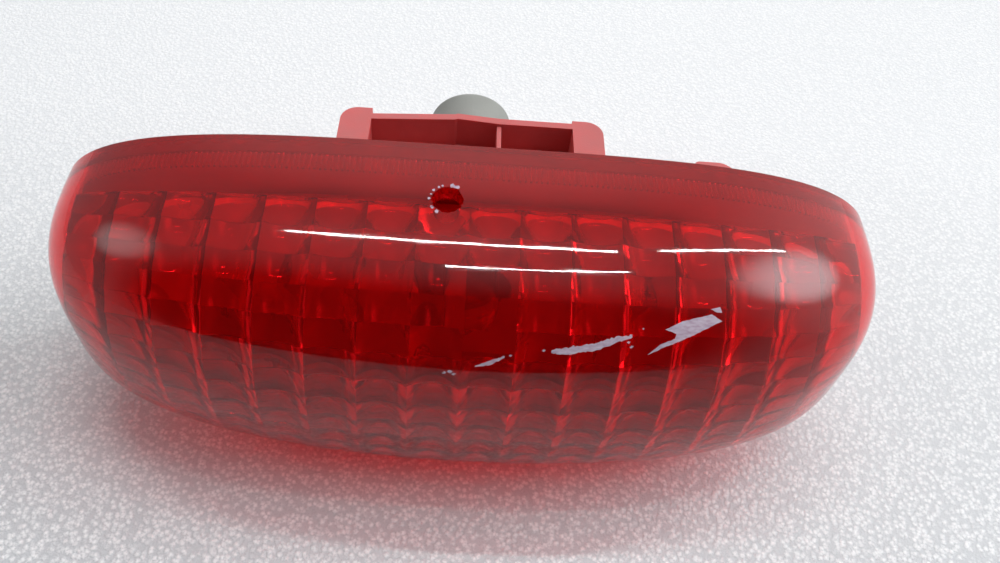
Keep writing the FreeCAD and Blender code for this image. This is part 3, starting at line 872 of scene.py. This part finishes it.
    def build(self, material: Material) -> Piece:
        """Builds the lens and puts it in place of the plain shell.

        Args:
            material: the lens's acrylic.

        Returns:
            The lens.
        """
        inner = self.dome.inset(self.wall)
        columns = self.columns(inner)
        turns, marks = self.row_edges(inner)
        rows = self.rows(turns)
        centre = np.array([0.0, self.dome.rim_y, 0.0])
        inside = inner.points(columns.places, rows.places)
        depth = self.cushions(inside, columns, rows, marks)
        inside = inside - grid_normals(inside, centre) * depth[..., None]
        outer_turns = np.linspace(-math.pi / 2, math.pi / 2, self.outer_steps + 1)
        outside = self.dome.points(columns.places, outer_turns)
        wide = len(columns.places)
        vertices = np.concatenate([outside.reshape(-1, 3), inside.reshape(-1, 3)])
        first = len(outer_turns) * wide
        faces = grid_faces(len(outer_turns), wide, 0, False)
        faces += grid_faces(len(rows.places), wide, first, True)
        rims = ((0, 0, True), (len(outer_turns) - 1, len(rows.places) - 1, False))
        for outer_row, inner_row, flip in rims:
            for j in range(wide - 1):
                a = outer_row * wide + j
                b = first + inner_row * wide + j
                face = (a, a + 1, b + 1, b)
                faces.append(face[::-1] if flip else face)
        piece = mesh_object("lens_shell", vertices.tolist(), faces)
        close_shell(piece)
        self.drill(piece)
        shade(piece, 24.0)
        finish_piece(piece, material, Body.LAMP)
        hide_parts("outer_lens")
        return piece


@dataclass
class RimFlutes:
    """Fine upright flutes moulded inside the lens's skirt, just in front of the housing."""

    dome: Dome
    wall: float = 2.6 * MM
    pitch: float = 1.05 * MM
    radius: float = 0.26 * MM
    gap: float = 0.03 * MM
    front: float = 6.9 * MM
    back: float = 3.3 * MM
    path_points: int = 400
    sides: int = 8

    def tree(self, material: Material) -> Tree:
        """Nodes that set a round flute at even steps along the rim.

        Args:
            material: the flutes' acrylic.

        Returns:
            The node group.
        """
        tree = bpy.data.node_groups.new("rim_flutes", "GeometryNodeTree")
        face = tree.interface
        face.new_socket("Geometry", in_out="INPUT", socket_type="NodeSocketGeometry")
        for name in ("Pitch", "Radius", "Length"):
            face.new_socket(name, in_out="INPUT", socket_type="NodeSocketFloat")
        face.new_socket("Geometry", in_out="OUTPUT", socket_type="NodeSocketGeometry")
        given = add_node(tree, "NodeGroupInput").outputs
        curve = add_node(tree, "GeometryNodeMeshToCurve", {0: given["Geometry"]})
        even = add_node(tree, "GeometryNodeResampleCurve", {
            "Curve": curve.outputs[0], "Length": given["Pitch"]}, mode="LENGTH")
        flute = add_node(tree, "GeometryNodeMeshCylinder", {
            "Vertices": self.sides, "Radius": given["Radius"], "Depth": given["Length"]})
        placed = add_node(tree, "GeometryNodeInstanceOnPoints", {
            "Points": even.outputs[0], "Instance": flute.outputs["Mesh"],
            "Rotation": (math.pi / 2, 0.0, 0.0)})
        real = add_node(tree, "GeometryNodeRealizeInstances", {0: placed.outputs[0]})
        coated = add_node(tree, "GeometryNodeSetMaterial", {
            "Geometry": real.outputs[0], "Material": material})
        add_node(tree, "NodeGroupOutput", {0: coated.outputs[0]})
        return tree

    def build(self, material: Material) -> Piece:
        """Builds the ring of flutes.

        Args:
            material: their acrylic.

        Returns:
            The ring.
        """
        inner = self.dome.inset(self.wall + self.radius + self.gap)
        middle = self.dome.rim_y - (self.front + self.back) / 2
        power = inner.rim_squareness
        vertices = []
        for index in range(self.path_points):
            angle = 2 * math.pi * index / self.path_points
            turn = (math.cos(angle), math.sin(angle))
            x, z = (math.copysign(abs(part) ** (2 / power), part) for part in turn)
            vertices.append((inner.half_width * x, middle, inner.half_height * z))
        ring = mesh_object("rim_flutes", vertices, [])
        ring.data.edges.add(self.path_points)
        for index, edge in enumerate(ring.data.edges):
            edge.vertices = (index, (index + 1) % self.path_points)
        tree = self.tree(material)
        nodes = ring.modifiers.new("flutes", "NODES")
        nodes.node_group = tree
        sizes = {"Pitch": self.pitch, "Radius": self.radius, "Length": self.front - self.back}
        for item in tree.interface.items_tree:
            if item.item_type == "SOCKET" and item.name in sizes:
                nodes[item.identifier] = sizes[item.name]
        baked(ring)
        close_shell(ring)
        shade(ring, 40.0)
        finish_piece(ring, material, Body.LAMP)
        return ring


# The blow's marks on the rim plane, in mm: outlines as x and z, ribbons as x, z and width,
# specks as x, z and half length.
SLAB = ((35.1, 24.3), (38.2, 25.1), (43.4, 25.5), (45.4, 24.6), (42.2, 23.9), (40.1, 23.3), (37.4, 22.6),
        (35.0, 22.0), (32.4, 21.1), (34.6, 22.5), (37.0, 23.1), (37.2, 23.7))
SLIVER = ((43.2, 26.0), (44.9, 26.1), (45.3, 25.5), (44.4, 25.6))
SHORT_RIBBON = ((2.4, 19.0, 0.15), (5.0, 19.7, 0.7), (7.4, 20.7, 0.25))
LONG_RIBBON = ((15.5, 21.7, 0.4), (18.0, 21.8, 1.0), (21.0, 22.2, 0.9), (23.6, 22.5, 1.0), (26.5, 23.3, 0.8),
               (29.4, 23.7, 0.3))
SPECKS = ((-2.9, 17.6, 0.4), (-1.9, 17.8, 0.5), (-1.2, 17.4, 0.45), (8.4, 20.9, 0.3), (14.1, 21.8, 0.35),
          (28.8, 22.9, 0.3), (29.4, 22.3, 0.35), (31.2, 24.5, 0.18))


@dataclass
class Scrapes:
    """Pale torn marks on the lens's outside, from a blow and round the drilled hole, as thin flakes."""

    dome: Dome
    lens: Piece
    lift: float = 0.03 * MM
    thickness: float = 0.05 * MM
    hole: Spot = (-4.3, -14.0)
    hole_reach: float = 3.05
    chip_count: int = 11
    chip_first_deg: float = 60.0
    chip_span_deg: float = 190.0
    chip_wander: float = 0.12
    chip_size: Spot = (0.14, 0.62)
    chip_set_out: Spot = (0.5, 0.9)
    chip_corners_deg: tuple[int, ...] = (0, 70, 140, 215, 290)
    chip_spread: Spot = (0.6, 1.2)
    chip_ragged: float = 0.02
    span_mm: float = 0.35
    longest_mm: float = 1.2
    drop: float = 0.05
    bead_colour_and_painted_light: BVHTree = field(init=False)

    def __post_init__(self) -> None:
        """Reads the lens's skin for rays."""
        self.bead_colour_and_painted_light = BVHTree.FromPolygons([v.co for v in self.lens.data.vertices],
                                         [tuple(p.vertices) for p in self.lens.data.polygons])

    def on_front(self, x: float, z: float) -> tuple[Vector, Vector]:
        """The front's surface point and normal over a place on the rim plane."""
        return self.dome.over(x, z), self.dome.normal(x, z)

    def on_top(self, x: float, y: float) -> tuple[Vector, Vector]:
        """The top's surface point and normal under a place in plan."""
        point, normal, _, _ = self.bead_colour_and_painted_light.ray_cast(Vector((x, y, self.drop)), Vector((0.0, 0.0, -1.0)))
        return point, normal

    def chips(self, rng: np.random.Generator) -> list[list[Spot]]:
        """Outlines in plan of the chips round the drilled hole, most of them on its left and behind.

        Args:
            rng: source of their places and shapes.

        Returns:
            The outlines, in mm.
        """
        middle_y = self.dome.rim_y / MM + self.hole[1]
        outlines = []
        for index in range(self.chip_count):
            angle = math.radians(self.chip_first_deg + self.chip_span_deg * index / self.chip_count)
            angle += rng.normal(0.0, self.chip_wander)
            size = rng.uniform(*self.chip_size)
            reach = self.hole_reach + size * rng.uniform(*self.chip_set_out)
            x = self.hole[0] + reach * math.cos(angle)
            y = middle_y + reach * math.sin(angle)
            outline = []
            for turn in self.chip_corners_deg:
                toward = angle + math.radians(turn)
                corner_x = x + size * rng.uniform(*self.chip_spread) * math.cos(toward)
                outline.append((corner_x, y + size * rng.uniform(*self.chip_spread) * math.sin(toward)))
            outlines.append(outline)
        return outlines

    def flake(self, outline_mm: list[Spot], rng: np.random.Generator, ragged_mm: float,
              place: Placer) -> tuple[list, list]:
        """One flake that follows the lens.

        Args:
            outline_mm: its corners on a flat plane, in order.
            rng: source of the ragged edge.
            ragged_mm: size of the raggedness.
            place: turns a place on that plane into a surface point and its normal.

        Returns:
            Its vertices and faces.
        """
        edge = []
        for index, start in enumerate(outline_mm):
            end = outline_mm[(index + 1) % len(outline_mm)]
            length = math.dist(start, end)
            spans = max(2, int(length / self.span_mm))
            for step in range(spans):
                share = step / spans
                wander = rng.normal(0.0, ragged_mm, 2) if step else (0.0, 0.0)
                edge.append((start[0] + (end[0] - start[0]) * share + wander[0],
                             start[1] + (end[1] - start[1]) * share + wander[1]))
        flat = bmesh.new()
        loop = [flat.verts.new((x, z, 0.0)) for x, z in edge]
        flat.faces.new(loop)
        bmesh.ops.triangulate(flat, faces=flat.faces)
        long_edges = [e for e in flat.edges if e.calc_length() > self.longest_mm]
        bmesh.ops.subdivide_edges(flat, edges=long_edges, cuts=2)
        bmesh.ops.triangulate(flat, faces=flat.faces)
        flat.verts.index_update()
        vertices = []
        for height in (self.lift + self.thickness, self.lift):
            for vert in flat.verts:
                point, normal = place(vert.co.x * MM, vert.co.y * MM)
                vertices.append(point + normal * height)
        count = len(flat.verts)
        faces = []
        for face in flat.faces:
            numbers = [v.index for v in face.verts]
            faces.append(tuple(numbers))
            faces.append(tuple(n + count for n in reversed(numbers)))
        for side in flat.edges:
            if side.is_boundary:
                a, b = (v.index for v in side.verts)
                faces.append((a, b, b + count, a + count))
        flat.free()
        return vertices, faces

    def ribbon(self, path_mm: tuple[Point, ...]) -> list[Spot]:
        """Outline of a band along a path of x, z and width."""
        upper = [(x, z + width / 2) for x, z, width in path_mm]
        return upper + [(x, z - width / 2) for x, z, width in reversed(path_mm)]

    def build(self, material: Material) -> Piece:
        """Builds every flake as one piece.

        Args:
            material: the torn acrylic.

        Returns:
            The flakes.
        """
        rng = np.random.default_rng(SEED)
        shapes = [(SLAB, 0.03), (SLIVER, 0.02)]
        shapes += [(self.ribbon(SHORT_RIBBON), 0.06), (self.ribbon(LONG_RIBBON), 0.08)]
        for x, z, size in SPECKS:
            speck = [(x - size, z), (x, z + size * 0.6), (x + size, z + 0.1), (x, z - size * 0.5)]
            shapes.append((speck, 0.06))
        placed = [(outline, ragged, self.on_front) for outline, ragged in shapes]
        placed += [(outline, self.chip_ragged, self.on_top) for outline in self.chips(rng)]
        vertices = []
        faces = []
        for outline, ragged, place in placed:
            corners, sides = self.flake(outline, rng, ragged, place)
            faces += [tuple(n + len(vertices) for n in side) for side in sides]
            vertices += corners
        piece = mesh_object("lens_scrapes", vertices, faces)
        close_shell(piece, 1e-7)
        shade(piece, 30.0)
        finish_piece(piece, material, Body.LAMP)
        return piece


# --- studio


@dataclass(frozen=True)
class Tube:
    """A long flat lamp overhead, from end to end, with its width and its power in watts."""

    name: str
    start: Point
    end: Point
    width: float
    power: float


@dataclass(frozen=True)
class Patch:
    """A soft-edged part of the room, from the cosine where it begins to the one where it is full."""

    toward: Point
    begins: float
    full: float
    light: Colour


@dataclass
class Studio:
    """Pale floor, soft overhead light with a few long tubes, and the camera."""

    rim_y: float
    floor_z: float
    floor_size: float = 4.0
    distance: float = 188.3 * MM
    elevation_deg: float = 51.0
    yaw_deg: float = 1.5
    roll_deg: float = 4.8
    lens_mm: float = 30.6
    sensor_mm: float = 36.0
    shift: Spot = (0.0354, -0.0310)
    clip: Spot = (0.01, 20.0)
    low_sky: str = "#B8BABE"
    high_sky: str = "#ADAFB3"
    tubes: tuple[Tube, ...] = (
        Tube("tube_back_left", (-0.36, 0.25, 1.2), (0.32, 0.26, 1.2), 0.022, 3.3),
        Tube("tube_back_right", (0.44, 0.29, 1.2), (1.15, 0.48, 1.2), 0.022, 2.9),
        Tube("tube_front", (-0.01, -0.05, 1.2), (0.36, -0.01, 1.2), 0.018, 1.2),
    )
    patches: tuple[Patch, ...] = (
        Patch((0.02, 0.94, 0.35), 0.78, 0.97, (1.25, 1.25, 1.25, 1.0)),
        Patch((0.93, 0.25, 0.26), 0.60, 0.95, (1.25, 1.25, 1.27, 1.0)),
        Patch((-0.12, -0.86, 0.50), 0.50, 0.79, (0.012, 0.012, 0.014, 1.0)),
        Patch((-0.79, -0.02, 0.61), 0.965, 1.0, (2.7, 2.7, 2.7, 1.0)),
        Patch((0.77, 0.04, 0.64), 0.935, 1.0, (7.0, 7.0, 7.2, 1.0)),
    )

    def floor(self, material: Material) -> None:
        """A flat pale floor under the lamp.

        Args:
            material: the floor's board.
        """
        half = self.floor_size / 2
        corners = [(-half, -half, self.floor_z), (half, -half, self.floor_z),
                   (half, half, self.floor_z), (-half, half, self.floor_z)]
        board = mesh_object("studio_floor", corners, [(0, 1, 2, 3)])
        board.data.materials.append(material)

    def lamp(self, tube: Tube) -> None:
        """A lamp along a tube that looks at the object.

        Args:
            tube: the tube.
        """
        data = bpy.data.lights.new(tube.name, "AREA")
        data.shape = "RECTANGLE"
        data.size = math.dist(tube.start, tube.end)
        data.size_y = tube.width
        data.energy = tube.power
        middle = (Vector(tube.start) + Vector(tube.end)) / 2
        along = (Vector(tube.end) - Vector(tube.start)).normalized()
        away = (middle - Vector((0.0, self.rim_y, 0.0))).normalized()
        across = away.cross(along).normalized()
        away = along.cross(across).normalized()
        lamp = bpy.data.objects.new(tube.name, data)
        lamp.matrix_world = Matrix.Translation(middle) @ Matrix((along, across, away)).transposed().to_4x4()
        bpy.context.scene.collection.objects.link(lamp)

    def lights(self) -> None:
        """Tubes overhead and a grey room, brighter behind and to the right, dark in front."""
        for tube in self.tubes:
            self.lamp(tube)
        world = bpy.data.worlds.new("soft_room")
        world.use_nodes = True
        tree = world.node_tree
        tree.nodes.clear()
        heading = add_node(tree, "ShaderNodeTexCoord").outputs["Generated"]
        high = add_node(tree, "ShaderNodeSeparateXYZ", {0: heading}).outputs[2]
        ceiling = between(tree, high, 0.0, 1.0, 0.0, 0.9)
        colour = blended(tree, ceiling, linear(self.low_sky), linear(self.high_sky))
        for patch in self.patches:
            facing = add_node(tree, "ShaderNodeVectorMath", {0: heading, 1: patch.toward},
                              operation="DOT_PRODUCT")
            near = between(tree, facing.outputs["Value"], 0.0, 1.0, patch.begins, patch.full, "SMOOTHSTEP")
            colour = blended(tree, near, colour, patch.light)
        backdrop = add_node(tree, "ShaderNodeBackground", {"Color": colour, "Strength": 1.0})
        add_node(tree, "ShaderNodeOutputWorld", {"Surface": backdrop.outputs[0]})
        bpy.context.scene.world = world

    def camera(self) -> None:
        """The camera, above and in front of the lens."""
        tilt = math.radians(self.elevation_deg)
        yaw = math.radians(self.yaw_deg)
        roll = math.radians(self.roll_deg)
        turn = Matrix.Rotation(-yaw, 3, "Z")
        ahead = turn @ Vector((0.0, math.cos(tilt), -math.sin(tilt)))
        up = turn @ Vector((0.0, math.sin(tilt), math.cos(tilt)))
        right = turn @ Vector((1.0, 0.0, 0.0))
        rolled_right = math.cos(roll) * right + math.sin(roll) * up
        rolled_up = math.cos(roll) * up - math.sin(roll) * right
        data = bpy.data.cameras.new("camera")
        data.lens = self.lens_mm
        data.sensor_width = self.sensor_mm
        data.shift_x, data.shift_y = self.shift
        data.clip_start, data.clip_end = self.clip
        place = Vector((0.0, self.rim_y, 0.0)) - self.distance * ahead
        camera = bpy.data.objects.new("camera", data)
        facing = Matrix((rolled_right, rolled_up, -ahead)).transposed()
        camera.matrix_world = Matrix.Translation(place) @ facing.to_4x4()
        bpy.context.scene.collection.objects.link(camera)
        bpy.context.scene.camera = camera

    def build(self) -> None:
        """Sets up the whole studio."""
        self.camera()
        self.lights()
        self.floor(PaleBoard().build())
        bpy.context.scene.view_settings.view_transform = "Standard"
        LOG.info("studio ready")


# --- assembly


def dress_construction() -> None:
    """Gives every construction piece but the plain lens shell its finish."""
    red = MouldedPlastic("abs_red_moulded", "#C85453", "#B84847", 0.42, depth_mm=1.2).build()
    grey = MouldedPlastic("polyamide_grey_moulded", "#8D918B", "#80857F", 0.55, dust_share=0.1).build()
    cream = MouldedPlastic("polyamide_natural_moulded", "#B8AE98", "#A89E88", 0.5).build()
    brass = WorkedMetal("brass_turned", "#C49A4E", "#8C6A34", 0.3).build()
    tinned = WorkedMetal("brass_tinned_stamped", "#BDB9AC", "#8F8A7C", 0.34).build()
    zinc = WorkedMetal("steel_zinc_plated", "#B4B6BA", "#8B8D8F", 0.32, (1.0, 1.0, 1.0)).build()
    nickel = WorkedMetal("nickel_wire_drawn", "#A9A49B", "#7F7A72", 0.3).build()
    tungsten = WorkedMetal("tungsten_wire_coiled", "#6E6E72", "#4A4A50", 0.38).build()
    finishes = {
        "rear_housing": red,
        "lens_bond": MouldedRubber("adhesive_hot_melt_amber", "#86503C", "#744334", 0.45).build(),
        "body_gasket": Foam("foam_closed_cell_black", "#2C2D2F", "#141416", 0.7).build(),
        "vent_foam": Foam("foam_open_cell_black", "#3A3B3D", "#0E0E10", 0.5).build(),
        "fixing_insert_left": brass,
        "fixing_insert_right": brass,
        "reflector": MetallisedPlastic().build(),
        "reflector_screw_left": zinc,
        "reflector_screw_right": zinc,
        "holder_body": grey,
        "holder_seal": MouldedRubber("rubber_epdm_moulded", "#1E1F20", "#3C3D3E", 0.55).build(),
        "terminal_retainer": cream,
        "contact_negative": tinned,
        "contact_positive": tinned,
        "bulb_glass": ClearGlass().build(),
        "lead_wire_negative": nickel,
        "lead_wire_positive": nickel,
        "filament": tungsten,
    }
    for node, material in finishes.items():
        dress(node, material)


def main() -> None:
    """Builds the lamp and the studio round it."""
    logging.basicConfig(level=logging.INFO, format="%(name)s %(message)s")
    low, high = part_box("outer_lens")
    side_slack = 0.04 * MM
    nose_slack = 0.02 * MM
    dome = Dome((high.x - low.x) / 2 - side_slack, (high.z - low.z) / 2 - side_slack,
                high.y - low.y - nose_slack, high.y)
    acrylic = RedAcrylic().build()
    lens = LensShell(dome).build(acrylic)
    RimFlutes(dome).build(acrylic)
    Scrapes(dome, lens).build(ScrapedAcrylic().build())
    dress_construction()
    Studio(high.y, CAD_BOX[0][2]).build()


if __name__ == "__main__":
    main()
